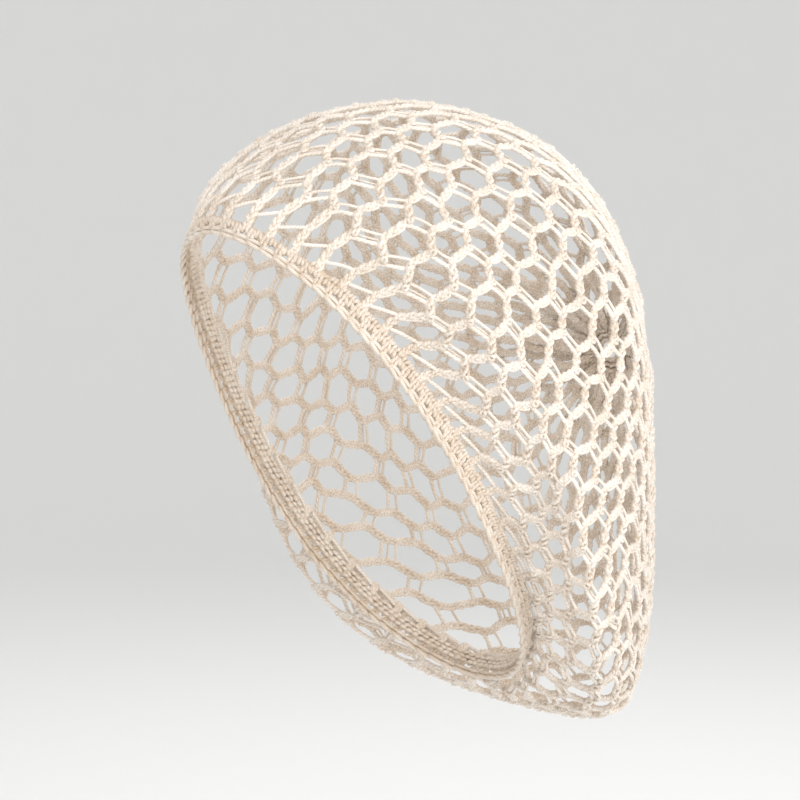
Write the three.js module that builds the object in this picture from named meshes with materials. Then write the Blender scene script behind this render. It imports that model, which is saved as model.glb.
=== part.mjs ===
// A crochet hair snood: a deep net bag that is worked onto a dense band with a chain cord
// along its edge, and is closed at the back by a small crocheted ring.
// Millimetres, +Z up, the opening towards -Y and down, the left side towards +X.
// The origin is where the inside of the crown rests.
import * as THREE from "three";

// Overall sizes of the worn bag
const BAG_DEPTH = 266;
const BAG_DROP = 306;
const BAG_WIDTH = 210;

// The opening and what edges it
const OPENING_WIDTH = 144;
const BAND_WIDTH = 7;
const BAND_THICKNESS = 4;
const BAND_EASE_SHARE = 0.3;
const EDGE_CORD_DIAMETER = 4;

// The net: its thickness, the strands between its gaps and how many gaps it has. A strand is
// never narrower than its width, unless the cells close in towards the ring.
const NET_THICKNESS = 3;
const STRAND_WIDTH = 13;
const LARGEST_STRAND_SHARE = 0.55;
const WIDEST_GAP = 29;
const GAPS_ROUND = 20;
const GAP_ROWS = 6;

// The ring that closes the net at the back
const CENTRE_RING_DIAMETER = 20;
const CENTRE_RING_WALL = 5;
const CENTRE_RING_LEAN = THREE.MathUtils.degToRad(13);

// Pieces that touch keep this distance
const PIECE_GAP = 0.3;

// How finely the round pieces are faceted. The band has four steps to each gap of the net.
const BAND_STEPS = 4 * GAPS_ROUND;
const CORD_SIDES = 6;
const RING_STEPS = 18;

// The bag is a stack of closed courses, counted from the band (0) to the ring at the back.
const RIM_COURSE = -0.55;
const LAST_COURSE = 17.5;

// Each row is one course. frontY and backY are shares of the depth where the course crosses
// the middle plane at the brow side and at the nape side, frontZ and backZ are shares of the
// drop below the crown, and half is half its width. egg makes it wider at the brow side, sag
// and lean bow it towards the back as shares of the depth, and turn1 to turn3 slide its
// stitches along it.
const COURSES = [
  { at: RIM_COURSE, frontY: -0.37, frontZ: 0.18, backY: 0.27, backZ: 0.915, half: 0.5 * OPENING_WIDTH,
    egg: -0.07, sag: -0.01, lean: 0.035, turn1: -0.03, turn2: 0.05, turn3: 0.04 },
  { at: 0, frontY: -0.36, frontZ: 0.15, backY: 0.3, backZ: 0.885, half: 0.49 * OPENING_WIDTH,
    egg: -0.07, sag: 0, lean: 0.04, turn1: -0.03, turn2: 0.05, turn3: 0.04 },
  { at: 1.2, frontY: -0.285, frontZ: 0.095, backY: 0.325, backZ: 0.9, half: 0.4 * BAG_WIDTH,
    egg: 0.13, sag: -0.025, lean: 0.04, turn1: -0.02, turn2: 0.06, turn3: -0.01 },
  { at: 2.5, frontY: -0.19, frontZ: 0.05, backY: 0.345, backZ: 0.95, half: 0.455 * BAG_WIDTH,
    egg: 0.23, sag: -0.045, lean: 0.01, turn1: -0.06, turn2: 0.06, turn3: -0.03 },
  { at: 4, frontY: -0.115, frontZ: 0.02, backY: 0.415, backZ: 0.975, half: 0.51 * BAG_WIDTH,
    egg: -0.05, sag: -0.085, lean: 0.14, turn1: -0.12, turn2: 0.1, turn3: -0.02 },
  { at: 6, frontY: 0.05, frontZ: 0, backY: 0.535, backZ: 0.995, half: 0.5 * BAG_WIDTH,
    egg: 0, sag: -0.11, lean: 0.14, turn1: -0.24, turn2: 0.14, turn3: -0.08 },
  { at: 8, frontY: 0.165, frontZ: 0.01, backY: 0.625, backZ: 0.915, half: 0.46 * BAG_WIDTH,
    egg: 0.17, sag: -0.11, lean: 0.12, turn1: -0.21, turn2: 0.07, turn3: 0 },
  { at: 10.5, frontY: 0.32, frontZ: 0.05, backY: 0.64, backZ: 0.825, half: 0.39 * BAG_WIDTH,
    egg: 0.15, sag: -0.105, lean: 0.07, turn1: -0.05, turn2: 0.13, turn3: 0.11 },
  { at: 14, frontY: 0.505, frontZ: 0.195, backY: 0.645, backZ: 0.615, half: 0.235 * BAG_WIDTH,
    egg: 0.12, sag: -0.07, lean: 0.02, turn1: 0.02, turn2: 0.07, turn3: 0.08 },
];
const CENTRE_RING_AT = { y: 0.622, z: 0.408 };

// The net's middle surface rises this far above the origin at the top of the crown. The small
// share is how far the curve has dropped again over the origin itself.
const CROWN_DIP_SHARE = 0.0022;
const CROWN_RISE = 0.5 * NET_THICKNESS + CROWN_DIP_SHARE * BAG_DROP;

// One table row in millimetres. The values are front point, back point, half width and so on.
function courseSizes(row) {
  return [
    row.frontY * BAG_DEPTH,
    CROWN_RISE - row.frontZ * BAG_DROP,
    row.backY * BAG_DEPTH,
    CROWN_RISE - row.backZ * BAG_DROP,
    row.half,
    row.egg,
    row.sag * BAG_DEPTH,
    row.lean * BAG_DEPTH,
    row.turn1,
    row.turn2,
    row.turn3,
  ];
}

// The last course is the round seat of the ring that closes the net.
function ringSeat() {
  const radius = CENTRE_RING_DIAMETER / 2;
  const y = CENTRE_RING_AT.y * BAG_DEPTH;
  const z = CROWN_RISE - CENTRE_RING_AT.z * BAG_DROP;
  const leanY = radius * Math.sin(CENTRE_RING_LEAN);
  const leanZ = radius * Math.cos(CENTRE_RING_LEAN);
  return [y - leanY, z + leanZ, y + leanY, z - leanZ, radius, 0, 0, 0, 0, 0, 0];
}

const knots = [...COURSES.map((row) => row.at), LAST_COURSE];
const knotSizes = [...COURSES.map(courseSizes), ringSeat()];

// Slope of every column at each knot, for a smooth curve through uneven knots.
function knotSlopes() {
  const rise = knots.slice(1).map((at, k) =>
    knotSizes[k + 1].map((value, column) => (value - knotSizes[k][column]) / (at - knots[k])));
  return knots.map((at, k) => {
    if (k === 0) return rise[0];
    if (k === knots.length - 1) return rise[k - 1];
    const before = at - knots[k - 1];
    const after = knots[k + 1] - at;
    return rise[k].map((value, column) =>
      (rise[k - 1][column] * after + value * before) / (before + after));
  });
}
const slopes = knotSlopes();

// The sizes of any course between two rows of the table.
function courseAt(course) {
  let k = knots.length - 2;
  while (k > 0 && course < knots[k]) k -= 1;
  const span = knots[k + 1] - knots[k];
  const s = (course - knots[k]) / span;
  return knotSizes[k].map((start, column) =>
    start * (1 + 2 * s) * (1 - s) ** 2 +
    slopes[k][column] * span * s * (1 - s) ** 2 +
    knotSizes[k + 1][column] * s * s * (3 - 2 * s) +
    slopes[k + 1][column] * span * s * s * (s - 1));
}

// A point on the net's middle surface. turn runs once round the course from the brow side,
// over the left side to the nape side and back.
function bagPoint(course, turn) {
  const [frontY, frontZ, backY, backZ, half, egg, sag, lean, turn1, turn2, turn3] = courseAt(course);
  const angle = turn + turn1 * Math.sin(turn) + turn2 * Math.sin(2 * turn) + turn3 * Math.sin(3 * turn);
  const c = Math.cos(angle);
  const s = Math.sin(angle);
  const halfY = (frontY - backY) / 2;
  const halfZ = (frontZ - backZ) / 2;
  const length = Math.hypot(halfY, halfZ);
  const bow = (sag + lean * c) * s * s;
  return new THREE.Vector3(
    half * s * (1 + egg * c),
    (frontY + backY) / 2 + halfY * c + (bow * halfZ) / length,
    (frontZ + backZ) / 2 + halfZ * c - (bow * halfY) / length,
  );
}

// Directions on the surface are taken over this small step of a course or a turn.
const SMALL_STEP = 0.002;

// The band's frame: its seat on the net, the way out to the rim, and the way away from the
// hollow.
function bandFrame(turn) {
  const seat = bagPoint(0, turn);
  const along = bagPoint(0, turn + SMALL_STEP).sub(bagPoint(0, turn - SMALL_STEP)).normalize();
  const out = bagPoint(RIM_COURSE, turn).sub(seat);
  out.addScaledVector(along, -out.dot(along)).normalize();
  const away = new THREE.Vector3().crossVectors(out, along).normalize();
  return { seat, out, away };
}

// The way the ring at the back faces.
const ringFacing = new THREE.Vector3(0, Math.cos(CENTRE_RING_LEAN), Math.sin(CENTRE_RING_LEAN));

// The outward direction of the net's surface. It is the band's own at the band, and the
// ring's at the ring.
function bagNormal(course, turn) {
  if (course <= 0) return bandFrame(turn).away;
  if (course >= LAST_COURSE) return ringFacing.clone();
  const along = bagPoint(course, turn + SMALL_STEP).sub(bagPoint(course, turn - SMALL_STEP));
  const across = bagPoint(course + SMALL_STEP, turn).sub(bagPoint(course - SMALL_STEP, turn));
  return new THREE.Vector3().crossVectors(along, across).normalize();
}

function meshOf(name, positions, indices, color) {
  const geometry = new THREE.BufferGeometry();
  geometry.setAttribute("position", new THREE.Float32BufferAttribute(positions, 3));
  geometry.setIndex(indices);
  geometry.computeVertexNormals();
  const material = new THREE.MeshStandardMaterial({ color, roughness: 0.85, metalness: 0 });
  const mesh = new THREE.Mesh(geometry, material);
  mesh.name = name;
  return mesh;
}

// A closed ring with the same section all the way round. place gives a section's corner.
function ringMesh(name, steps, corners, place, color) {
  const positions = [];
  const indices = [];
  for (let step = 0; step < steps; step += 1) {
    for (let corner = 0; corner < corners; corner += 1) {
      positions.push(...place((2 * Math.PI * step) / steps, corner).toArray());
      const next = ((step + 1) % steps) * corners;
      const here = step * corners;
      const other = (corner + 1) % corners;
      indices.push(here + corner, next + other, here + other);
      indices.push(here + corner, next + corner, next + other);
    }
  }
  return meshOf(name, positions, indices, color);
}

// Rows of gaps are counted from 1 at the band and columns once round the bag. The first row
// starts half a row before its middle and the last one ends half a row after its own.
const FIRST_EDGE = 0.5;
const LAST_EDGE = GAP_ROWS + 0.5;

function courseOf(row) {
  const inside = Math.min(Math.max(row, FIRST_EDGE), LAST_EDGE);
  return (LAST_COURSE * (inside - FIRST_EDGE)) / GAP_ROWS;
}

function turnOf(column) {
  return (2 * Math.PI * column) / GAPS_ROUND;
}

function cellPoint(row, column) {
  return bagPoint(courseOf(row), turnOf(column));
}

// The gap of a net cell is its hexagon, drawn in by half a strand on each side. Sizes of a
// cell are taken across and up the net at its middle.
function strandShares(row, column) {
  const across = cellPoint(row, column + 0.5).distanceTo(cellPoint(row, column - 0.5));
  const up = cellPoint(row + 0.5, column).distanceTo(cellPoint(row - 0.5, column));
  const narrow = Math.min(STRAND_WIDTH / across, LARGEST_STRAND_SHARE);
  return {
    across: Math.max(narrow, 1 - WIDEST_GAP / across),
    up: Math.min(STRAND_WIDTH / up, LARGEST_STRAND_SHARE),
  };
}

// The hexagon round a gap, as twelve corners and edge middles in quarters of a column and
// sixths of a row from its centre. The fourth to sixth face the ring and the last four the
// band.
const HEXAGON = [
  [-2, -2], [-2, 0], [-2, 2], [-1, 3], [0, 4], [1, 3],
  [2, 2], [2, 0], [2, -2], [1, -3], [0, -4], [-1, -3],
];
const QUARTERS_ROUND = 4 * GAPS_ROUND;

function crochetNet() {
  const positions = [];
  const indices = [];
  const shared = new Map();

  // An outer and an inner corner of the net, made once for all the cells that meet there.
  function netCorner(quarters, sixths) {
    const round = (quarters + QUARTERS_ROUND) % QUARTERS_ROUND;
    const key = round + "," + sixths;
    if (!shared.has(key)) {
      shared.set(key, addCorner(quarters / 4, sixths / 6));
    }
    return shared.get(key);
  }

  function addCorner(column, row) {
    const course = courseOf(row);
    const turn = turnOf(column);
    const middle = bagPoint(course, turn);
    const normal = bagNormal(course, turn);
    const first = positions.length / 3;
    for (const side of [0.5, -0.5]) {
      positions.push(...middle.clone().addScaledVector(normal, side * NET_THICKNESS).toArray());
    }
    return { outer: first, inner: first + 1 };
  }

  function quad(a, b, c, d) {
    indices.push(a, b, c, a, c, d);
  }

  for (let row = 1; row <= GAP_ROWS; row += 1) {
    for (let count = 0; count < GAPS_ROUND; count += 1) {
      const column = count + 0.5 * row;
      const share = strandShares(row, column);
      const rim = HEXAGON.map(([q, s]) => netCorner(4 * column + q, 6 * row + s));
      const gap = HEXAGON.map(([q, s]) => {
        const reach = Math.min(Math.max(row + s / 6, FIRST_EDGE), LAST_EDGE) - row;
        return addCorner(column + (q / 4) * (1 - share.across), row + reach * (1 - share.up));
      });
      HEXAGON.forEach((corner, k) => {
        const n = (k + 1) % HEXAGON.length;
        quad(rim[k].outer, gap[k].outer, gap[n].outer, rim[n].outer);
        quad(rim[n].inner, gap[n].inner, gap[k].inner, rim[k].inner);
        quad(gap[k].outer, gap[k].inner, gap[n].inner, gap[n].outer);
        const onBand = row === 1 && k >= 8;
        const onRing = row === GAP_ROWS && k >= 2 && k <= 5;
        if (onBand || onRing) quad(rim[k].inner, rim[k].outer, rim[n].outer, rim[n].inner);
      });
    }
  }
  return meshOf("crochet_net", positions, indices, 0xf3e8d6);
}

// The dense band between the net and the edge cord: a flat strip with eased corners.
function edgeBand() {
  const halfWidth = BAND_WIDTH / 2;
  const halfThickness = BAND_THICKNESS / 2;
  const ease = BAND_EASE_SHARE * BAND_THICKNESS;
  const section = [
    [-halfWidth, halfThickness - ease], [-halfWidth, ease - halfThickness],
    [ease - halfWidth, -halfThickness], [halfWidth - ease, -halfThickness],
    [halfWidth, ease - halfThickness], [halfWidth, halfThickness - ease],
    [halfWidth - ease, halfThickness], [ease - halfWidth, halfThickness],
  ];
  return ringMesh("edge_band", BAND_STEPS, section.length, (turn, corner) => {
    const { seat, out, away } = bandFrame(turn);
    const [across, up] = section[corner];
    return seat.addScaledVector(out, PIECE_GAP + halfWidth + across).addScaledVector(away, up);
  }, 0xf0e4d2);
}

// The chain cord that finishes the band's edge.
function edgeCord() {
  const radius = EDGE_CORD_DIAMETER / 2;
  const reach = PIECE_GAP + BAND_WIDTH + PIECE_GAP + radius;
  return ringMesh("edge_cord", BAND_STEPS, CORD_SIDES, (turn, corner) => {
    const { seat, out, away } = bandFrame(turn);
    const angle = (2 * Math.PI * corner) / CORD_SIDES;
    return seat
      .addScaledVector(out, reach + radius * Math.cos(angle))
      .addScaledVector(away, radius * Math.sin(angle));
  }, 0xf6ecdc);
}

// The small ring that closes the net at the back, with its inner edge eased, turned to face
// along its seat.
function centreRing() {
  const outer = CENTRE_RING_DIAMETER / 2 - PIECE_GAP;
  const inner = outer - CENTRE_RING_WALL;
  const half = NET_THICKNESS / 2;
  const eased = half / 2;
  const profile = [
    new THREE.Vector2(inner, -eased),
    new THREE.Vector2(inner + eased, -half),
    new THREE.Vector2(outer, -half),
    new THREE.Vector2(outer, half),
    new THREE.Vector2(inner + eased, half),
    new THREE.Vector2(inner, eased),
    new THREE.Vector2(inner, -eased),
  ];
  const geometry = new THREE.LatheGeometry(profile, RING_STEPS);
  const material = new THREE.MeshStandardMaterial({ color: 0xefe3cf, roughness: 0.85, metalness: 0 });
  const mesh = new THREE.Mesh(geometry, material);
  mesh.name = "centre_ring";
  mesh.position.set(0, CENTRE_RING_AT.y * BAG_DEPTH, CROWN_RISE - CENTRE_RING_AT.z * BAG_DROP);
  mesh.quaternion.setFromUnitVectors(new THREE.Vector3(0, 1, 0), ringFacing);
  return mesh;
}

const snood = new THREE.Group();
snood.name = "crochet_hair_snood";
snood.add(crochetNet(), edgeBand(), edgeCord(), centreRing());

export default snood;
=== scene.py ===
"""A crochet hair snood: yarn plaits, pulled loops, a stitched band and its chain edge."""

import math
import random

import bmesh
import bpy
import numpy
from bpy.props import FloatProperty, FloatVectorProperty, IntProperty, PointerProperty
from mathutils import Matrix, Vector


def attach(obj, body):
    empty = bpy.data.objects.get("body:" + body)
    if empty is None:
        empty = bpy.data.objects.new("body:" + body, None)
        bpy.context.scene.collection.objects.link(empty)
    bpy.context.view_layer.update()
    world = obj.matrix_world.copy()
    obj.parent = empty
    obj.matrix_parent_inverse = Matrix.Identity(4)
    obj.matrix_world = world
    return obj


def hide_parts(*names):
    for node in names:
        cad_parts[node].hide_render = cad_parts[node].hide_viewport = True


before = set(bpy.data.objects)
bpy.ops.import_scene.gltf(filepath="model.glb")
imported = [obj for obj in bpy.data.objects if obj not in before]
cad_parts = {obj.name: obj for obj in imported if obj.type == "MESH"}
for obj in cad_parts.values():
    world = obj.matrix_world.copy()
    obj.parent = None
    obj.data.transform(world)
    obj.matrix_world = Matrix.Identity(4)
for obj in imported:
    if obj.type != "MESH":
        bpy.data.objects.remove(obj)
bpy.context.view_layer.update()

bl_info = {
    "name": "Crochet hair snood",
    "version": (1, 0, 0),
    "blender": (4, 5, 0),
    "location": "3D View > Sidebar > Snood",
    "description": "Makes the yarn of a crochet hair snood round its packed solids",
    "category": "Object",
}

MM = 0.001
# Where the random draws of the net, the band and the chain start.
NET_SEED = 7
BAND_SEED = 11
CHAIN_SEED = 5

# The worn bag, in millimetres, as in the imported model.
BAG_DEPTH = 266
BAG_DROP = 306
BAG_WIDTH = 210
OPENING_WIDTH = 144
CENTRE_RING_DIAMETER = 20
CENTRE_RING_LEAN = math.radians(13)
CENTRE_RING_Y = 0.622 * BAG_DEPTH
CROWN_RISE = 2.2
CENTRE_RING_Z = CROWN_RISE - 0.408 * BAG_DROP
RIM_COURSE = -0.55
LAST_COURSE = 17.5

# One course of the bag in each row. The columns are the course, then where it crosses the
# middle plane: brow side Y and Z, nape side Y and Z (shares of depth and drop), then its half
# width, egg, sag and lean, and how far its stitches slide round it.
COURSES = [
    (RIM_COURSE, -0.37, 0.18, 0.27, 0.915, 0.5 * OPENING_WIDTH,
     -0.07, -0.01, 0.035, -0.03, 0.05, 0.04),
    (0, -0.36, 0.15, 0.3, 0.885, 0.49 * OPENING_WIDTH,
     -0.07, 0, 0.04, -0.03, 0.05, 0.04),
    (1.2, -0.285, 0.095, 0.325, 0.9, 0.4 * BAG_WIDTH,
     0.13, -0.025, 0.04, -0.02, 0.06, -0.01),
    (2.5, -0.19, 0.05, 0.345, 0.95, 0.455 * BAG_WIDTH,
     0.23, -0.045, 0.01, -0.06, 0.06, -0.03),
    (4, -0.115, 0.02, 0.415, 0.975, 0.51 * BAG_WIDTH,
     -0.05, -0.085, 0.14, -0.12, 0.1, -0.02),
    (6, 0.05, 0, 0.535, 0.995, 0.5 * BAG_WIDTH,
     0, -0.11, 0.14, -0.24, 0.14, -0.08),
    (8, 0.165, 0.01, 0.625, 0.915, 0.46 * BAG_WIDTH,
     0.17, -0.11, 0.12, -0.21, 0.07, 0),
    (10.5, 0.32, 0.05, 0.64, 0.825, 0.39 * BAG_WIDTH,
     0.15, -0.105, 0.07, -0.05, 0.13, 0.11),
    (14, 0.505, 0.195, 0.645, 0.615, 0.235 * BAG_WIDTH,
     0.12, -0.07, 0.02, 0.02, 0.07, 0.08),
]


def course_sizes(row):
    """One row of the table in millimetres, without its course."""
    _, brow_y, brow_z, nape_y, nape_z, half, egg, sag, lean, *turns = row
    return [
        brow_y * BAG_DEPTH,
        CROWN_RISE - brow_z * BAG_DROP,
        nape_y * BAG_DEPTH,
        CROWN_RISE - nape_z * BAG_DROP,
        half,
        egg,
        sag * BAG_DEPTH,
        lean * BAG_DEPTH,
        *turns,
    ]


def ring_seat():
    """The last course, which is the seat of the ring at the back."""
    radius = CENTRE_RING_DIAMETER / 2
    y = radius * math.sin(CENTRE_RING_LEAN)
    z = radius * math.cos(CENTRE_RING_LEAN)
    return [
        CENTRE_RING_Y - y, CENTRE_RING_Z + z, CENTRE_RING_Y + y, CENTRE_RING_Z - z,
        radius, 0, 0, 0, 0, 0, 0,
    ]


RING_CENTRE = Vector((0, CENTRE_RING_Y, CENTRE_RING_Z))
KNOTS = [row[0] for row in COURSES] + [LAST_COURSE]
KNOT_SIZES = [course_sizes(row) for row in COURSES] + [ring_seat()]


def knot_slopes():
    """Slope of every size at each knot, for a smooth curve through uneven knots."""
    spans = [after - before for before, after in zip(KNOTS, KNOTS[1:])]
    rise = [
        [(high - low) / span for low, high in zip(a, b)]
        for a, b, span in zip(KNOT_SIZES, KNOT_SIZES[1:], spans)
    ]
    inner = [
        [(p * after + q * before) / (before + after) for p, q in zip(below, above)]
        for below, above, before, after in zip(rise, rise[1:], spans, spans[1:])
    ]
    return [rise[0], *inner, rise[-1]]


SLOPES = knot_slopes()


def course_at(course):
    """The sizes of any course between two rows of the table."""
    k = len(KNOTS) - 2
    while k > 0 and course < KNOTS[k]:
        k -= 1
    span = KNOTS[k + 1] - KNOTS[k]
    s = (course - KNOTS[k]) / span
    start, start_slope = (1 + 2 * s) * (1 - s) ** 2, span * s * (1 - s) ** 2
    end, end_slope = s * s * (3 - 2 * s), span * s * s * (s - 1)
    return [
        a * start + m * start_slope + b * end + n * end_slope
        for a, m, b, n in zip(KNOT_SIZES[k], SLOPES[k], KNOT_SIZES[k + 1], SLOPES[k + 1])
    ]


def bag_point(course, turn):
    """A point on the net's middle surface in millimetres. turn runs from the brow side, over
    the left side to the nape side and back."""
    brow_y, brow_z, nape_y, nape_z, half, egg, sag, lean, once, twice, thrice = course_at(course)
    angle = (turn + once * math.sin(turn) + twice * math.sin(2 * turn)
             + thrice * math.sin(3 * turn))
    c, s = math.cos(angle), math.sin(angle)
    half_y, half_z = (brow_y - nape_y) / 2, (brow_z - nape_z) / 2
    bow = (sag + lean * c) * s * s / math.hypot(half_y, half_z)
    return Vector((
        half * s * (1 + egg * c),
        (brow_y + nape_y) / 2 + half_y * c + bow * half_z,
        (brow_z + nape_z) / 2 + half_z * c - bow * half_y,
    ))


SMALL_STEP = 0.002


def bag_normal(course, turn):
    """The direction away from the hollow."""
    along = bag_point(course, turn + SMALL_STEP) - bag_point(course, turn - SMALL_STEP)
    across = bag_point(course + SMALL_STEP, turn) - bag_point(course - SMALL_STEP, turn)
    return along.cross(across).normalized()


# Where the net gathers to the ring it has more yarn than room, so it lies in pleats. Each row
# of heights is a course and how high the pleats are there, in millimetres.
PLEATS = 12
PLEAT_HEIGHTS = ((11, 0), (13, 1.2), (15, 3.4), (16.6, 3.4), (LAST_COURSE, 0.8))


def ease(share):
    """A smooth rise from 0 to 1."""
    share = min(1, max(0, share))
    return share * share * (3 - 2 * share)


def net_point(course, turn):
    """A point of the net with its pleats."""
    point = bag_point(course, turn)
    if course <= PLEAT_HEIGHTS[0][0]:
        return point
    height = numpy.interp(course, *zip(*PLEAT_HEIGHTS))
    # The pleats are of uneven width, and some are lower than others.
    wave = math.cos(PLEATS * turn + 1.3 * math.sin(3 * turn)) + 0.35 * math.cos(7 * turn + 1)
    return point + bag_normal(course, turn) * (height * wave)


def band_point(turn, out, away):
    """A point of the band: out millimetres from the net towards the rim, and away from the
    hollow."""
    seat = bag_point(0, turn)
    along = (bag_point(0, turn + SMALL_STEP) - bag_point(0, turn - SMALL_STEP)).normalized()
    to_rim = bag_point(RIM_COURSE, turn) - seat
    to_rim = (to_rim - along * to_rim.dot(along)).normalized()
    return seat + to_rim * out + to_rim.cross(along) * away


# Lengths along the band are measured round its middle, this far out from the net.
BAND_MIDDLE = 5
BAND_SAMPLES = 720
BAND_TURNS = [2 * math.pi * k / BAND_SAMPLES for k in range(BAND_SAMPLES + 1)]
BAND_MIDDLES = [band_point(turn, BAND_MIDDLE, 0) for turn in BAND_TURNS]
BAND_LENGTHS = [0, *numpy.cumsum([
    (after - before).length for before, after in zip(BAND_MIDDLES, BAND_MIDDLES[1:])
])]
BAND_LENGTH = BAND_LENGTHS[-1]


def band_place(distance, out, away):
    """A point of the band at a distance in millimetres along its middle."""
    rounds, rest = divmod(distance, BAND_LENGTH)
    turn = 2 * math.pi * rounds + numpy.interp(rest, BAND_LENGTHS, BAND_TURNS)
    return band_point(turn, out, away)


# How a net cell lies between its neighbours, in columns and rows. A plait climbs by LONG and
# steps back by SHORT, and LOOP is the pulled loop that ties it to the next plait.
LOOP = (0.36, 0.28)
LONG = (-LOOP[0], 1 - LOOP[1])
SHORT = (LOOP[0] - 1, LOOP[1])
# The turn of the first column, and the course that row 0 starts from.
FIRST_TURN = -0.035
ROW_START = -0.35


def cell_corner(column, row):
    """Where a cell's first corner lies, in columns and rows."""
    return column - 0.5 * (1 - LOOP[0]), row - 0.5 * (1 - LOOP[1])


# A hand-worked net is uneven. Its cells wander by this many columns and rows, in waves that
# run round the bag and close on themselves. The numbers are the waves round, the turn from
# row to row and the start of each.
UNEVEN = 0.045
UNEVEN_ROUND = ((5, 1.7, 0), (11, -2.3, 1), (19, 3.1, 2))
UNEVEN_ROWS = ((7, -1.9, 0.5), (13, 2.7, 4), (23, -3.3, 0))
# It is even at the band, and grows even again over the last few rows before the ring.
EVEN_FIRST = 0.2
EVEN_LAST = 3


def waves_at(waves, turn, row):
    """The sum of some waves at a place of the lattice."""
    return sum(math.sin(count * turn + skew * row + start) for count, skew, start in waves)


def lattice_point(column, row, columns):
    """Course and turn of a place in the lattice of cells."""
    turn = (column + 0.5 * row) * 2 * math.pi / columns
    held = UNEVEN * ease(row - EVEN_FIRST) * ease((LAST_COURSE - row) / EVEN_LAST)
    aside = held * waves_at(UNEVEN_ROUND, turn, row)
    onward = held * waves_at(UNEVEN_ROWS, turn, row)
    return row + ROW_START + onward, FIRST_TURN + turn + aside * 2 * math.pi / columns


def lattice_line(start, end, steps, columns):
    """Course and turn of the places along a straight line in the lattice."""
    (x0, y0), (x1, y1) = start, end
    return [
        lattice_point(x0 + (x1 - x0) * k / steps, y0 + (y1 - y0) * k / steps, columns)
        for k in range(steps + 1)
    ]


def step(place, move, share=1.0):
    """The place that a share of a move leads to."""
    return place[0] + move[0] * share, place[1] + move[1] * share


def linear(hex_color):
    """An sRGB hex colour as linear values."""
    channels = [int(hex_color[k:k + 2], 16) / 255 for k in (1, 3, 5)]
    return tuple(c / 12.92 if c <= 0.04045 else ((c + 0.055) / 1.055) ** 2.4 for c in channels)


class SnoodYarn(bpy.types.PropertyGroup):
    thickness: FloatProperty(
        name="Yarn thickness", description="How thick one strand of the plait is",
        default=2.1 * MM, unit="LENGTH", precision=4)
    pale: FloatVectorProperty(
        name="Pale yarn", description="Colour of the yarn where it stands out",
        default=linear("#F8F1E9"), size=3, subtype="COLOR", min=0, max=1)
    # The deep colour is the yarn's painted shade, and also the deeper tone of its slubs.
    deep: FloatVectorProperty(
        name="Deep yarn", description="Colour of the yarn where it tucks under",
        default=linear("#CBB7A1"), size=3, subtype="COLOR", min=0, max=1)


class SnoodNet(bpy.types.PropertyGroup):
    columns: IntProperty(
        name="Cells round", description="Cells of the net round the bag", default=48, min=12)
    rows: IntProperty(
        name="Rows of cells", description="Rows of cells from the band to the ring", default=17,
        min=4, max=17)
    plait_width: FloatProperty(
        name="Plait width", description="Width of the plait between two cells",
        default=4.8 * MM, unit="LENGTH", precision=4)
    plait_depth: FloatProperty(
        name="Plait depth", description="How thick the plait is through the net",
        default=3.0 * MM, unit="LENGTH", precision=4)
    loop_thickness: FloatProperty(
        name="Pulled loop thickness", description="Thickness of the thicker side of a pulled loop",
        default=2.2 * MM, unit="LENGTH", precision=4)
    loop_thinness: FloatProperty(
        name="Pulled loop thinness", description="Thickness of the thinner side of a pulled loop",
        default=1.6 * MM, unit="LENGTH", precision=4)


class SnoodBand(bpy.types.PropertyGroup):
    stitches: IntProperty(
        name="Band stitches", description="Stitches in one row of the band", default=192,
        min=24)
    stitch_thickness: FloatProperty(
        name="Band yarn thickness", description="Thickness of the yarn in the band's stitches",
        default=1.9 * MM, unit="LENGTH", precision=4)
    links: IntProperty(
        name="Chain links", description="Links of the chain along the rim", default=96, min=24)
    link_thickness: FloatProperty(
        name="Chain yarn thickness", description="Thickness of one side of a chain link",
        default=1.95 * MM, unit="LENGTH", precision=4)


class SnoodStage(bpy.types.PropertyGroup):
    floor: FloatVectorProperty(
        name="Floor colour", description="Colour of the floor and the backdrop",
        default=linear("#EAEAE9"), size=3, subtype="COLOR", min=0, max=1)
    floor_height: FloatProperty(
        name="Floor height", description="Where the floor lies, well below the part",
        default=-0.62, unit="LENGTH")


def add(tree, kind, links=None, **settings):
    """Adds a node, sets its settings and sockets, and links its inputs. A socket is named by
    its own name or number, and a link is the socket it comes from."""
    node = tree.nodes.new(kind)
    for name, value in settings.items():
        setattr(node, name, value)
    for socket, source in (links or {}).items():
        if isinstance(source, bpy.types.NodeSocket):
            tree.links.new(source, node.inputs[socket])
        else:
            node.inputs[socket].default_value = source
    return node


def empty_material(name):
    """A new material and its node tree, with no node in it yet."""
    material = bpy.data.materials.new(name)
    material.use_nodes = True
    material.node_tree.nodes.clear()
    return material, material.node_tree


# A single fibre is about 0.02 mm thick, too fine to show, so fibres are drawn as tufts of this
# size. Slubs are the thicker places of the yarn, about so far apart.
TUFT_MM = 0.45
SLUB_MM = 9
# How deep the yarn's grooves and its fibres stand in its surface.
GROOVE_DEPTH = 0.12 * MM
TUFT_DEPTH = 0.2 * MM
# How often the plies wind in a plait's row of cells, and along the whole of other strands.
ROW_WINDS = 9
WRAP_WINDS = 4
LOOP_WINDS = 5
STITCH_WINDS = 3
RUNNING_WINDS = 260
LINK_WINDS = 6
RING_WINDS = 6
# The colour and result sockets of a Mix node, which share their names with other sockets.
MIX_PALE, MIX_DEEP, MIX_RESULT = 6, 7, 2


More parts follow.
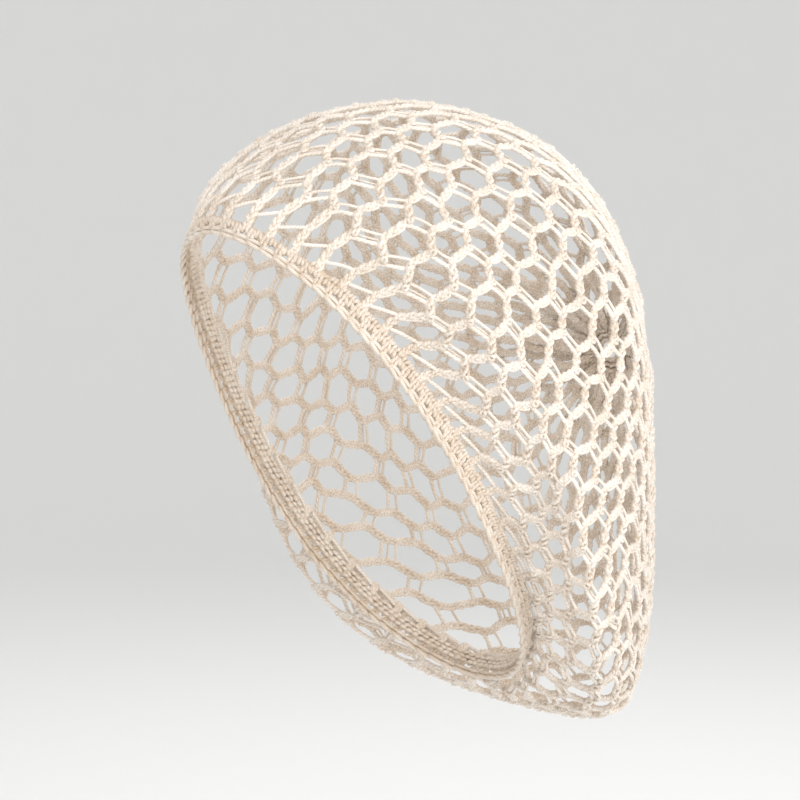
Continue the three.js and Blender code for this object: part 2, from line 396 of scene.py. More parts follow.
def spun_yarn(name, pale, deep, winds):
    """Spun cotton and viscose yarn, two plies twisted. Its surface is matt with a soft sheen,
    short fibres break up the light, and its slubs are deeper in colour. Shade is painted into
    its colour in the grooves, in the gaps between fibre tufts and where it tucks under or faces
    the heart of its rope. winds is how often the plies wind round the whole of a strand, once in
    about 2 to 3 mm."""
    material, tree = empty_material(name)
    place = add(tree, "ShaderNodeTexCoord").outputs["Object"]
    uv = add(tree, "ShaderNodeUVMap", uv_map="UVMap").outputs["UV"]
    split = add(tree, "ShaderNodeSeparateXYZ", {0: uv})
    painted_shade = add(tree, "ShaderNodeAttribute", attribute_name="painted_shade").outputs["Fac"]

    # The plies wind along the strand, with two grooves in each turn.
    along = add(tree, "ShaderNodeMath", {0: split.outputs["X"], 1: float(winds)},
                operation="MULTIPLY")
    wound = add(tree, "ShaderNodeMath", {0: along.outputs[0], 1: split.outputs["Y"]},
                operation="ADD")
    angle = add(tree, "ShaderNodeMath", {0: wound.outputs[0], 1: 4 * math.pi},
                operation="MULTIPLY")
    ply = add(tree, "ShaderNodeMath", {0: angle.outputs[0]}, operation="SINE")
    fuzz = add(tree, "ShaderNodeTexNoise",
               {"Vector": place, "Scale": 1000 / TUFT_MM, "Detail": 3.0})
    mottle = add(tree, "ShaderNodeTexNoise",
                 {"Vector": place, "Scale": 1000 / SLUB_MM, "Detail": 2.0})

    # Painted shade in grooves, gaps between fibres and tucked places; slubs are deeper in colour.
    groove_shade = add(tree, "ShaderNodeMapRange", {
        "Value": ply.outputs[0], "From Min": -1.0, "From Max": 0.2,
        "To Min": 0.28, "To Max": 0.0})
    fibre_gap_shade = add(tree, "ShaderNodeMapRange", {
        "Value": fuzz.outputs["Fac"], "From Min": 0.36, "From Max": 0.56,
        "To Min": 0.28, "To Max": 0.0})
    patch = add(tree, "ShaderNodeMapRange", {
        "Value": mottle.outputs["Fac"], "From Min": 0.35, "From Max": 0.7,
        "To Min": 0.0, "To Max": 0.3})
    fine = add(tree, "ShaderNodeMath", {0: groove_shade.outputs[0], 1: fibre_gap_shade.outputs[0]},
               operation="ADD")
    whole = add(tree, "ShaderNodeMath", {0: fine.outputs[0], 1: patch.outputs[0]},
                operation="ADD")
    depth = add(tree, "ShaderNodeMath", {0: whole.outputs[0], 1: painted_shade}, operation="ADD",
                use_clamp=True)
    color = add(tree, "ShaderNodeMix", {
        "Factor": depth.outputs[0], MIX_PALE: (*pale, 1), MIX_DEEP: (*deep, 1)},
        data_type="RGBA")

    ply_bump = add(tree, "ShaderNodeBump", {
        "Height": ply.outputs[0], "Strength": 0.5, "Distance": GROOVE_DEPTH})
    fuzz_bump = add(tree, "ShaderNodeBump", {
        "Height": fuzz.outputs["Fac"], "Strength": 0.55, "Distance": TUFT_DEPTH,
        "Normal": ply_bump.outputs[0]})
    shader = add(tree, "ShaderNodeBsdfPrincipled", {
        "Base Color": color.outputs[MIX_RESULT], "Roughness": 0.78, "IOR": 1.5,
        "Specular IOR Level": 0.3, "Sheen Weight": 0.3, "Sheen Roughness": 0.5,
        "Normal": fuzz_bump.outputs[0]})
    add(tree, "ShaderNodeOutputMaterial", {"Surface": shader.outputs[0]})
    return material


# Painted shade: how much deeper in colour yarn is where it faces the heart of its rope.
SHADED_SHARE = 0.42


def yarn_piece(name, strands, thickness, material, replaced):
    """Makes one piece from strands of yarn. A strand is a list of points in millimetres and may
    be closed. Each point comes with its share of the thickness, its painted shade where it tucks
    under, and the heart of the rope that it winds round; yarn facing this heart gets painted
    shade."""
    curve = bpy.data.curves.new(name, "CURVE")
    curve.dimensions = "3D"
    curve.bevel_depth = thickness / 2
    # A strand has six sides, because there are thousands of strands.
    curve.bevel_resolution = 1
    for points, closed in strands:
        spline = curve.splines.new("POLY")
        spline.points.add(len(points) - 1)
        spline.use_cyclic_u = closed
        spline.points.foreach_set("co", [x for row in points for x in (*(row[0] * MM), 1)])
        spline.points.foreach_set("radius", [row[1] for row in points])
    routed = bpy.data.objects.new(name + ".route", curve)
    bpy.context.scene.collection.objects.link(routed)
    graph = bpy.context.evaluated_depsgraph_get()
    mesh = bpy.data.meshes.new_from_object(routed.evaluated_get(graph), depsgraph=graph)
    mesh.name = name

    # The bevel gives each point of a strand its own ring of vertices, in order, so the painted
    # shade is worked out ring by ring before any vertex is merged. A point that lies on its own
    # heart faces nothing and gets no painted shade from it.
    rows = [row for points, _ in strands for row in points]
    surface = numpy.empty(len(mesh.vertices) * 3)
    mesh.vertices.foreach_get("co", surface)
    surface = surface.reshape(len(rows), -1, 3)
    middle = numpy.array([row[0] * MM for row in rows])[:, None]
    inward = numpy.array([row[3] * MM for row in rows])[:, None] - middle
    outward = surface - middle
    outward /= numpy.linalg.norm(outward, axis=2, keepdims=True) + 1e-9
    inward /= numpy.linalg.norm(inward, axis=2, keepdims=True) + 1e-4
    facing = (outward * inward).sum(axis=2).clip(0, 1)
    tucks = numpy.array([row[2] for row in rows])[:, None] + SHADED_SHARE * facing
    attribute = mesh.attributes.new("painted_shade", "FLOAT", "POINT")
    attribute.data.foreach_set("value", tucks.ravel())
    bpy.data.objects.remove(routed)
    bpy.data.curves.remove(curve)

    shape = bmesh.new()
    shape.from_mesh(mesh)
    bmesh.ops.remove_doubles(shape, verts=shape.verts, dist=1e-6)
    open_edges = [edge for edge in shape.edges if edge.is_boundary]
    if open_edges:
        bmesh.ops.holes_fill(shape, edges=open_edges, sides=0)
    shape.to_mesh(mesh)
    shape.free()
    mesh.shade_smooth()
    mesh.materials.clear()
    mesh.materials.append(material)
    piece = bpy.data.objects.new(name, mesh)
    bpy.context.scene.collection.objects.link(piece)
    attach(piece, "root")
    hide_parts(replaced)
    return piece


def smooth(points, passes):
    """Rounds a row of points and keeps its ends."""
    for _ in range(passes):
        points = [points[0]] + [
            (a + b * 2 + c) / 4 for a, b, c in zip(points, points[1:], points[2:])
        ] + [points[-1]]
    return points


def frames_along(places, passes=0):
    """Points, side directions and outward normals along a route of (course, turn)."""
    points = smooth([net_point(*place) for place in places], passes)
    normals = [bag_normal(*place) for place in places]
    last = len(points) - 1
    rows = []
    for k, point in enumerate(points):
        tangent = (points[min(k + 1, last)] - points[max(k - 1, 0)]).normalized()
        rows.append((point, normals[k].cross(tangent).normalized(), normals[k]))
    return rows


# The points of a plait on the long and the short side of a cell and in its foot, and how often
# it twists in a row of cells.
LONG_STEPS = 10
SHORT_STEPS = 6
STEPS_A_ROW = LONG_STEPS + SHORT_STEPS
FOOT_STEPS = 8
TWISTS_A_ROW = 2
# How many courses before the ring's seat the plaits, the stitches on them and the pulled loops
# end, and the first course that has stitches.
PLAITS_END = 0.05
STITCHES_END = 0.6
LOOPS_END = 0.2
STITCHES_START = 0.1
# On the long side of a cell, the straight edge loses this share of its swing, and the plait
# moves over by this many millimetres.
STRAIGHTENED = 0.5
MOVED_OVER = 0.2
# How uneven the yarn is in thickness.
UNEVEN_YARN = 0.09
# The painted shade of a plait: how much deeper in colour it is everywhere, on the short sides
# and where a strand passes under the others.
PLAIT_SHADE = 0.02
SHORT_SIDE_SHADE = 0.16
UNDER_SHADE = 0.24
# The last point of a plait lies this share of the way to the middle of the ring.
DRAWN_IN = 0.3


def plait_route(column, net):
    """The places along one plait, from its foot in the band to the ring."""
    here = cell_corner(column, 1)
    places = [step(here, LONG, (k - FOOT_STEPS) / LONG_STEPS) for k in range(FOOT_STEPS)]
    for _ in range(net.rows):
        places += [step(here, LONG, k / LONG_STEPS) for k in range(LONG_STEPS)]
        top = step(here, LONG)
        places += [step(top, SHORT, k / SHORT_STEPS) for k in range(SHORT_STEPS)]
        here = step(top, SHORT)
    return [lattice_point(*place, net.columns) for place in places]


def plait_strands(net, yarn):
    """Three strands for every plait. On the long side of a cell the plait has scallops on its
    brow side and is straight on the other, and on the short side it is knobbly on both."""
    swing = (net.plait_width - yarn.thickness) / 2 / MM
    lift = (net.plait_depth - yarn.thickness) / 2 / MM
    strands = [[], [], []]
    for column in range(net.columns):
        route = plait_route(column, net)
        kept = [k for k, (course, _) in enumerate(route) if course < LAST_COURSE - PLAITS_END]
        rows = frames_along([route[k] for k in kept], 2)
        for ply in range(3):
            points = []
            for k, (point, side, normal) in zip(kept, rows):
                phase = 2 * math.pi * (k / STEPS_A_ROW * TWISTS_A_ROW + ply / 3)
                on_row = (k - FOOT_STEPS) % STEPS_A_ROW
                on_long = 0
                if on_row < LONG_STEPS:
                    on_long = math.sin(math.pi * on_row / LONG_STEPS) ** 0.5
                across = swing * math.sin(phase)
                if across < 0:
                    across *= 1 - STRAIGHTENED * on_long
                across += MOVED_OVER * on_long
                fullness = 1 + UNEVEN_YARN * math.sin(0.43 * k + 1.9 * column + 2.1 * ply)
                # Painted shade where the strand passes under the others.
                under = max(0, -math.sin(2 * phase))
                points.append([
                    point + side * across + normal * lift * math.sin(2 * phase), fullness,
                    PLAIT_SHADE + SHORT_SIDE_SHADE * (1 - on_long) + UNDER_SHADE * under, point])
            # Both ends of the plait are thin, and the last one is drawn in under the ring
            # with painted shade.
            end = points[-1][0].lerp(RING_CENTRE, DRAWN_IN)
            points.append([end, 0.1, 0.3, end])
            points[0][1] = 0.1
            strands[ply].append((points, False))
    return strands


# The points of a stitch that wraps a plait: the fullness and its painted shade where it tucks
# under. It runs over this share of half a turn, the same on both sides.
ARCH_POINTS = ((0.3, 0.25), (1.0, 0.25), (1.0, 0.05), (1.0, 0.05), (1.0, 0.25), (0.3, 0.25))
ARCH_SWEEP = 1.3
# A short side of at least this many millimetres has stitches of full size.
FULL_SIDE = 7
# A corner stitch stands this far out and rises and falls by this much, in millimetres.
CORNER_OUT = 1.1
CORNER_WAVE = 0.3
# A corner stitch has this much painted shade.
CORNER_SHADE = 0.05
CORNER_STEPS = 8


def arch_over(point, normal, tangent, size, reach, chance):
    """One stitch that wraps a plait, from one side over it to the other."""
    side = normal.cross(tangent)
    arc = []
    slant = chance.uniform(0.5, 1.4)
    for k, (fullness, painted_shade) in enumerate(ARCH_POINTS):
        angle = math.pi * (k / (len(ARCH_POINTS) - 1) * ARCH_SWEEP - (ARCH_SWEEP - 1) / 2)
        across = -math.cos(angle) * reach
        up = math.sin(angle) * reach - 0.1
        arc.append((point + (side * across + normal * up - tangent * across * slant) * size,
                    fullness, painted_shade, point))
    return arc


def knot_stitches(net, chance):
    """Two stitches wrap the plait on each short side of a cell, and a small round one lies on
    the corner, where the plait turns and the next loop is pulled out."""
    wraps, corners = [], []
    for row in range(net.rows + 1):
        for column in range(net.columns):
            top = step(cell_corner(column, row), LONG)
            place = lattice_point(*top, net.columns)
            if not STITCHES_START < place[0] < LAST_COURSE - STITCHES_END:
                continue
            corner, normal = net_point(*place), bag_normal(*place)
            along = net_point(*lattice_point(*step(top, SHORT), net.columns)) - corner
            size = min(1, along.length / FULL_SIDE)
            right = along.normalized()
            for share in (chance.uniform(0.3, 0.45), chance.uniform(0.75, 0.9)):
                here = lattice_point(*step(top, SHORT, share), net.columns)
                wraps.append((arch_over(net_point(*here), bag_normal(*here), right, size,
                                        chance.uniform(1.45, 1.7), chance), False))
            up = normal.cross(right)
            middle = corner + normal * CORNER_OUT * size
            radius = chance.uniform(0.85, 1.15) * size
            corners.append(([
                (middle + (right * math.cos(turn) + up * math.sin(turn)) * radius
                 + normal * CORNER_WAVE * math.sin(2 * turn + column),
                 size, CORNER_SHADE, middle)
                for turn in (2 * math.pi * k / CORNER_STEPS for k in range(CORNER_STEPS))
            ], True))
    return wraps, corners


# The fullness of a pulled loop at the points of its thin side, in the first row and the others,
# of its middle strand, and of its thick side, on the plait and free of it.
FIRST_THIN_FULLNESS = (0.3, 1.2, 1.15, 1.15, 1.2, 0.4)
THIN_FULLNESS = (0.3, 1.0, 0.9, 0.9, 1.0, 0.3)
EXTRA_FULLNESS = (0.4, 1.0, 1.0, 0.4)
EDGE_FULLNESS = (0.3, 0.62, 0.66, 0.68)
FREE_FULLNESS = (0.8, 0.95, 0.9, 0.9, 1.0, 0.3)
LOOP_STEPS = 5
EDGE_STEPS = 3
# The share of loops that have a middle strand, how far out this lies in millimetres, and its
# painted shade where it tucks under.
EXTRA_SHARE = 0.3
EXTRA_OUT = 0.3
EXTRA_SHADE = 0.1
# The thick side lies this far to the side of the plait's middle and this far out from it, and
# is still this far aside where it comes free, in millimetres.
EDGE_ASIDE = 1.5
EDGE_OUT = 0.5
FREE_ASIDE = 0.4


def pulled_loops(net, chance):
    """A pulled loop has a thin and a thick side with a slit between them, and here and there a
    third strand in the slit. The thick side comes out of the plait, where it lies along the
    straight edge. In the first row there is the thin side alone, from the band to the plait."""
    thin, thick, extra = [], [], []
    for row in range(net.rows):
        for column in range(net.columns):
            corner = cell_corner(column, row)
            top = step(corner, LONG)
            below = step(top, LOOP)
            # The ends of a strand are shares of the way along the sides of a cell.
            if row == 0:
                upper = (step(step(top, SHORT, 0.93), LONG, -0.3), step(below, LONG, 0.25))
            else:
                upper = (step(top, SHORT, 0.25), step(below, LONG, 0.22))
            if lattice_point(*upper[1], net.columns)[0] > LAST_COURSE - LOOPS_END:
                continue
            bow = chance.uniform(0.2, 0.7)
            fullness = FIRST_THIN_FULLNESS if row == 0 else THIN_FULLNESS
            thin.append(([
                (point + normal * bow * math.sin(math.pi * k / LOOP_STEPS), fullness[k], 0.0,
                 point)
                for k, (point, _, normal) in enumerate(
                    frames_along(lattice_line(*upper, LOOP_STEPS, net.columns)))
            ], False))
            if row == 0:
                continue
            if chance.random() < EXTRA_SHARE:
                middle = lattice_line(step(top, LONG, -0.02), below, EDGE_STEPS, net.columns)
                extra.append(([
                    (point + normal * EXTRA_OUT, EXTRA_FULLNESS[k], EXTRA_SHADE, point)
                    for k, (point, _, normal) in enumerate(frames_along(middle))
                ], False))
            on_plait = lattice_line(
                step(corner, LONG, 0.12), step(corner, LONG, 0.7), EDGE_STEPS, net.columns)
            lower = lattice_line(
                step(top, LONG, -0.2), step(below, SHORT, -0.22), LOOP_STEPS, net.columns)
            edge = [
                (point - side * EDGE_ASIDE * min(1, k / 2 + 0.3) + normal * EDGE_OUT,
                 EDGE_FULLNESS[k], 0.0, point)
                for k, (point, side, normal) in enumerate(frames_along(on_plait))
            ]
            free = [
                (point - side * FREE_ASIDE * (k == 0)
                 + normal * bow * math.sin(math.pi * k / LOOP_STEPS), FREE_FULLNESS[k], 0.0, point)
                for k, (point, side, normal) in enumerate(frames_along(lower))
            ]
            thick.append((edge + free, False))
    return thin, thick, extra


# The yarn that wraps a plait is drawn tight, and the middle strand of a loop is a single ply, so
# they have these shares of the thickness of the plait's yarn and of the loop's thin side.
WRAP_THICKNESS = 0.8
EXTRA_THICKNESS = 0.6


class SNOOD_OT_net(bpy.types.Operator):
    """Make the net: its plaits, the stitches on them and the pulled loops between them"""
    bl_idname = "snood.net"
    bl_label = "Make the net"

    def execute(self, context):
        scene = context.scene
        net, yarn = scene.snood_net, scene.snood_yarn
        chance = random.Random(NET_SEED)
        material = spun_yarn("cotton_yarn_plaited", yarn.pale, yarn.deep, ROW_WINDS * net.rows)
        for strands, name in zip(plait_strands(net, yarn), (
                "net_plait_first_strand", "net_plait_second_strand", "net_plait_third_strand")):
            yarn_piece(name, strands, yarn.thickness, material, "crochet_net")

        material = spun_yarn("cotton_yarn_wrapped", yarn.pale, yarn.deep, WRAP_WINDS)
        for strands, name in zip(
                knot_stitches(net, chance), ("net_wrap_stitches", "net_corner_stitches")):
            yarn_piece(name, strands, yarn.thickness * WRAP_THICKNESS, material, "crochet_net")

        material = spun_yarn("cotton_yarn_pulled_loop", yarn.pale, yarn.deep, LOOP_WINDS)
        thin, thick, extra = pulled_loops(net, chance)
        for name, strands, thickness in (
                ("net_loops_thin", thin, net.loop_thinness),
                ("net_loops_thick", thick, net.loop_thickness),
                ("net_loops_extra", extra, net.loop_thinness * EXTRA_THICKNESS)):
            yarn_piece(name, strands, thickness, material, "crochet_net")
        return {"FINISHED"}


# How the leg of a chain link runs from where it comes up to where the next link covers it: its
# share of the way, how far it spreads, its height, its fullness and its painted shade where it
# tucks under.
LINK_POINTS = (
    (0, 0.1, -0.3, 0.5, 0.56),
    (0.12, 0.4, 0.75, 0.9, 0.36),
    (0.3, 0.85, 1, 1.05, 0.24),
    (0.5, 1, 0.7, 1.05, 0.24),
    (0.7, 0.95, 0.1, 1, 0.34),
    (0.85, 0.8, -0.45, 0.9, 0.5),
    (1, 0.45, -0.7, 0.4, 0.56),
)
# Where the chain lies, how far its links spread and how high they stand, how far each leg starts
# from the middle of its link, and the depth of the chain's heart, in millimetres.
CHAIN_OUT = 9.75
CHAIN_SPREAD = 0.85
CHAIN_HEIGHT = 0.85
CHAIN_GAP = 0.2
CHAIN_HEART = -0.4
# A link's length and how much of it lies before its place, in pitches of the chain.
LINK_LENGTH = 1.5
LINK_BEFORE = 0.15


def chain_link(start, pitch, chance):
    """The two legs of one chain link that lies along the band. They come up between the legs of
    the link before it and end under the next one."""
    shift, wide = chance.uniform(-0.2, 0.2), chance.uniform(0.9, 1.1)
    legs = []
    for side in (-1, 1):
        leg = []
        for share, spread, rise, fullness, painted_shade in LINK_POINTS:
            distance = start + pitch * (LINK_LENGTH * share - LINK_BEFORE)
            aside = side * (CHAIN_GAP + CHAIN_SPREAD * wide * spread)
            leg.append((band_place(distance, CHAIN_OUT + shift + aside, CHAIN_HEIGHT * rise),
                        fullness, painted_shade, band_place(distance, CHAIN_OUT, CHAIN_HEART)))
        legs.append((leg, False))
    return legs


# The points of one leg of a stitch: its share of the way, its fullness and its painted shade
# where it tucks under.
LEG_POINTS = (
    (0, 0.5, 0.66), (0.22, 0.95, 0.45), (0.5, 1.06, 0.3), (0.78, 0.95, 0.45), (1, 0.5, 0.66),
)
# The heart of a stitch lies this many millimetres below it.
STITCH_HEART = 0.5


def stitch_leg(distance, out, length, lean, puff):
    """One leg of a stitch in the band, a short fat length of yarn with both ends tucked in. A
    negative puff puts it on the inside."""
    heart = band_place(distance, out, math.copysign(STITCH_HEART, -puff))
    leg = []
    for share, fullness, painted_shade in LEG_POINTS:
        reach = (share - 0.5) * length
        leg.append((band_place(distance + reach * math.sin(lean), out + reach * math.cos(lean),
                               puff * math.sin(math.pi * (0.1 + 0.8 * share)) - 0.1),
                    fullness, painted_shade, heart))
    return leg, False


def turn_of(distance):
    """The turn of a place of the band, near enough to set how its stitches lie."""
    return 2 * math.pi * distance / BAND_LENGTH


# The band is narrow for this many radians to each side of the middle of the brow, and reaches
# its full width over so many more.
BROW_HALF = 0.3
BROW_FADE = 0.5


def brow_share(distance):
    """How near a place of the band is to the middle of the brow, from 0 to 1."""
    return 1 - ease((math.pi - abs(turn_of(distance) - math.pi) - BROW_HALF) / BROW_FADE)


# The rows of stitches on the outside of the band, from the rim to the net: how far out their
# middle lies, their length, and how far they lean, in millimetres and radians.
OUTER_ROWS = ((4.8, 4.3, 0.3), (2.1, 3.7, -0.3))
# How far each leg stands from the middle of its stitch, in millimetres, and how far it leans out
# from it, in radians.
LEG_SPACING = 0.92
LEG_SPREAD = 0.22
# Stitches start to lie over where the cosine of the turn is LIE_START, and lie over fully where
# it is less by LIE_FADE. LYING_SLANT is how far they then lean, in radians.
LIE_START = 0.35
LIE_FADE = 0.9
LYING_SLANT = 0.8
# Where the stitches that tie the band to its chain lie, their length, the spacing, lean and
# spread of their legs, and how far they stand out.
TIE_OUT = 7.3
TIE_LENGTH = 4.4
TIE_SPACING = 0.9
TIE_LEAN = 0.25
TIE_SPREAD = 0.08
TIE_PUFF = 0.85
# How far out the rows on the inside of the band lie, and the length and puff of their bumps.
# Over the brow, bumps and running yarn stay at least so far out.
INNER_ROWS = (1.4, 3.3, 5.2)
BUMP_LENGTH = 3.7
BUMP_PUFF = -1.35
BROW_BUMP_OUT = 4.2
BROW_RUN_OUT = 4.6
# The running yarn lies this far in and wanders by this much across the band and through it, in
# millimetres, and is nearly hidden, so it has this much painted shade.
RUN_AWAY = -0.3
RUN_ACROSS = 0.35
RUN_THROUGH = 0.25
RUN_SHADE = 0.6


def outer_stitches(band, chance):
    """The stitches on the outside of the band. Over the brow it is narrow and they stand
    upright. Towards the nape it is stretched, and they lie along it."""
    pitch = BAND_LENGTH / band.stitches
    stitches = []
    for row, (out, length, lean) in enumerate(OUTER_ROWS):
        for stitch in range(band.stitches):
            distance = pitch * (stitch + 0.5 * (row % 2) + chance.uniform(-0.1, 0.1))
            turn = turn_of(distance)
            brow = brow_share(distance)
            if row == 1 and chance.random() < brow:
                continue
            lie = ease((LIE_START - math.cos(turn)) / LIE_FADE)
            slant = -math.copysign(LYING_SLANT, math.sin(turn)) * lie + chance.uniform(-0.2, 0.2)
            size = chance.uniform(0.92, 1.12)
            puff = chance.uniform(0.7, 1.2) + 0.5 * (row == 1 and chance.random() < 0.3)
            for side in (-1, 1):
                stitches.append(stitch_leg(
                    distance + side * LEG_SPACING,
                    out + 0.5 * brow * (row == 0) + chance.uniform(-0.2, 0.2),
                    length * size,
                    slant + lean * (1 - lie) + side * LEG_SPREAD,
                    puff + chance.uniform(-0.15, 0.15)))
    return stitches


def tie_stitches(band, chance):
    """The stitches that tie the band to its chain. Each is a pair of legs, with an eyelet
    between two pairs."""
    pitch = BAND_LENGTH / band.links
    ties = []
    for link in range(band.links):
        distance = pitch * (link + chance.uniform(-0.05, 0.05))
        for side in (-1, 1):
            ties.append(stitch_leg(
                distance + side * TIE_SPACING, TIE_OUT + chance.uniform(-0.15, 0.15), TIE_LENGTH,
                TIE_LEAN + TIE_SPREAD * side + chance.uniform(-0.15, 0.15), TIE_PUFF))
    return ties


def inner_rows(band, chance):
    """The rows of low bumps on the inside of the band, and the running yarn between them and
    the stitches."""
    pitch = BAND_LENGTH / band.stitches
    bumps, runs = [], []
    for row, out in enumerate(INNER_ROWS):
        for stitch in range(band.stitches):
            distance = pitch * (stitch + 0.33 * row + chance.uniform(-0.1, 0.1))
            place = max(out, BROW_BUMP_OUT * brow_share(distance)) + chance.uniform(-0.2, 0.2)
            bumps.append(stitch_leg(distance, place, BUMP_LENGTH,
                                    math.pi / 2 + chance.uniform(-0.35, 0.1), BUMP_PUFF))
        points = []
        for k in range(2 * band.stitches):
            wave = math.sin(math.pi * k / 2 + 2 * row)
            distance = pitch * k / 2
            place = max(out, BROW_RUN_OUT * brow_share(distance)) + RUN_ACROSS * wave
            points.append((band_place(distance, place, RUN_AWAY + RUN_THROUGH * wave), 1.0,
                           RUN_SHADE, band_place(distance, place, 0)))
        runs.append((points, True))
    return bumps, runs


class SNOOD_OT_band(bpy.types.Operator):
    """Make the band round the opening: its rows of stitches, inside and out"""
    bl_idname = "snood.band"
    bl_label = "Make the band"

    def execute(self, context):
        scene = context.scene
        band, yarn = scene.snood_band, scene.snood_yarn
        chance = random.Random(BAND_SEED)
        material = spun_yarn("cotton_yarn_band_stitch", yarn.pale, yarn.deep, STITCH_WINDS)
        stitches = outer_stitches(band, chance)
        ties = tie_stitches(band, chance)
        bumps, runs = inner_rows(band, chance)
        for name, strands in (("band_stitches", stitches), ("band_tie_stitches", ties),
                              ("band_inner_bumps", bumps)):
            yarn_piece(name, strands, band.stitch_thickness, material, "edge_band")
        material = spun_yarn("cotton_yarn_running", yarn.pale, yarn.deep, RUNNING_WINDS)
        yarn_piece("band_running_yarn", runs, yarn.thickness, material, "edge_band")
        return {"FINISHED"}


class SNOOD_OT_cord(bpy.types.Operator):
    """Make the chain along the rim, a row of long links with small eyelets"""
    bl_idname = "snood.cord"
    bl_label = "Make the chain edge"

    def execute(self, context):
        scene = context.scene
        band, yarn = scene.snood_band, scene.snood_yarn
        chance = random.Random(CHAIN_SEED)
        material = spun_yarn("cotton_yarn_chain_edge", yarn.pale, yarn.deep, LINK_WINDS)
        pitch = BAND_LENGTH / band.links
        links = []
        for link in range(band.links):
            links += chain_link(pitch * link, pitch, chance)
        yarn_piece("rim_chain_links", links, band.link_thickness, material, "edge_cord")
        return {"FINISHED"}


RING_FACING = Vector((0, math.cos(CENTRE_RING_LEAN), math.sin(CENTRE_RING_LEAN)))
RING_RIGHT = Vector((1, 0, 0))
RING_UP = RING_RIGHT.cross(RING_FACING)
# The stitches of the ring: their number, the places of the two legs of each and how far these
# lean, in stitches, then where a leg starts, its length and its height, in millimetres.
ROSETTE_STITCHES = 14
ROSETTE_LEGS = (-0.2, 0.25)
ROSETTE_LEAN = 0.3
ROSETTE_START = 4.4
ROSETTE_LENGTH = 7.6
ROSETTE_HEIGHT = 1.9
ROSETTE_STEPS = 6
# The rounds of yarn in the ring: their radius, and how far they lie away from the hollow. The
# yarn wanders a little as it runs over and under the stitches.
ROSETTE_ROUNDS = ((5.2, 0.2), (8.2, 0.0), (10.6, -0.9), (10.4, 0.9))
ROUND_STEPS = 48
ROUND_WANDER = 0.3
# The ring's yarn has this much painted shade.
ROSETTE_SHADE = 0.15


def ring_point(turn, radius, away):
    """A point of the ring at the back."""
    aside = RING_RIGHT * math.cos(turn) + RING_UP * math.sin(turn)
    return RING_CENTRE + aside * radius + RING_FACING * away


def rosette_leg(place):
    """One leg of a stitch in the ring, from its hole outwards. place counts in stitches."""
    points = []
    for k in range(ROSETTE_STEPS + 1):
        share = k / ROSETTE_STEPS
        turn = 2 * math.pi * (place + ROSETTE_LEAN * share) / ROSETTE_STITCHES
        height = ROSETTE_HEIGHT * math.sin(math.pi * (0.05 + 0.8 * share))
        points.append((ring_point(turn, ROSETTE_START + ROSETTE_LENGTH * share, height),
                       0.3 if k in (0, ROSETTE_STEPS) else 1.0, ROSETTE_SHADE, RING_CENTRE))
    return points, False


def rosette_round(radius, away):
    """One round of yarn in the ring."""
    points = []
    for k in range(ROUND_STEPS):
        place = ring_point(2 * math.pi * k / ROUND_STEPS,
                           radius + ROUND_WANDER * math.sin(k * 1.8),
                           away + ROUND_WANDER * math.cos(k * 1.8))
        points.append((place, 1.0, ROSETTE_SHADE, RING_CENTRE))
    return points, True


class SNOOD_OT_ring(bpy.types.Operator):
    """Make the small ring that the net gathers to at the back"""
    bl_idname = "snood.ring"
    bl_label = "Make the centre ring"

    def execute(self, context):
        yarn = context.scene.snood_yarn
        strands = [rosette_leg(stitch + shift)
                   for stitch in range(ROSETTE_STITCHES) for shift in ROSETTE_LEGS]
        strands += [rosette_round(*sizes) for sizes in ROSETTE_ROUNDS]
        material = spun_yarn("cotton_yarn_ring", yarn.pale, yarn.deep, RING_WINDS)
        yarn_piece("centre_rosette", strands, yarn.thickness, material, "centre_ring")
        return {"FINISHED"}


# The camera stands 45 degrees round from the front and 6 degrees above, 1.5 m off.
CAMERA_TURN = math.radians(45)
CAMERA_RISE = math.radians(6)
CAMERA_DISTANCE = 1.5
AIM = Vector((0, 0.035, -0.1398))
# The aimed point lies this many pixels right of and below the middle of the image.
AIM_OFFSET = (26.2, 2.95)
IMAGE_PIXELS = 800
LENS_MM = 142.1
SENSOR_MM = 36
# Each light's name, place, width in metres and watts.
LIGHTS = (
    ("key_light", (0.95, -1.2, 1.1), 0.7, 16),
    ("side_light", (1.7, 0.6, 0.1), 0.9, 14),
    ("back_light", (-0.9, 1.3, 0.9), 0.9, 9),
    ("fill_light", (1.35, -0.75, -0.3), 0.8, 2.2),
)
WORLD_LIGHT = 0.86
# The floor is flat out to one radius, then rises in a round sweep of another to a wall, in
# metres.
FLAT_RADIUS = 2.6
SWEEP_RADIUS = 2
SWEEP_STEPS = 10
WALL_HEIGHT = 3.6
FLOOR_SIDES = 64


def sweep_floor(name, height, material):
    """A round floor that rises into a wall all round, so that no edge shows."""
    mesh = bpy.data.meshes.new(name)
    shape = bmesh.new()
    profile = [(0, 0)] + [
        (FLAT_RADIUS + SWEEP_RADIUS * math.sin(math.pi / 2 * k / SWEEP_STEPS),
         SWEEP_RADIUS - SWEEP_RADIUS * math.cos(math.pi / 2 * k / SWEEP_STEPS))
        for k in range(SWEEP_STEPS + 1)
    ] + [(FLAT_RADIUS + SWEEP_RADIUS, WALL_HEIGHT)]
    row = [shape.verts.new((x, 0, height + z)) for x, z in profile]
    edges = [shape.edges.new(pair) for pair in zip(row, row[1:])]
    bmesh.ops.spin(shape, geom=row + edges, cent=(0, 0, 0), axis=(0, 0, 1), angle=2 * math.pi,
                   steps=FLOOR_SIDES, use_merge=True)
    bmesh.ops.remove_doubles(shape, verts=shape.verts, dist=1e-5)
    bmesh.ops.recalc_face_normals(shape, faces=shape.faces)
    shape.to_mesh(mesh)
    shape.free()
    mesh.shade_smooth()
    mesh.materials.append(material)
    floor = bpy.data.objects.new(name, mesh)
    bpy.context.scene.collection.objects.link(floor)


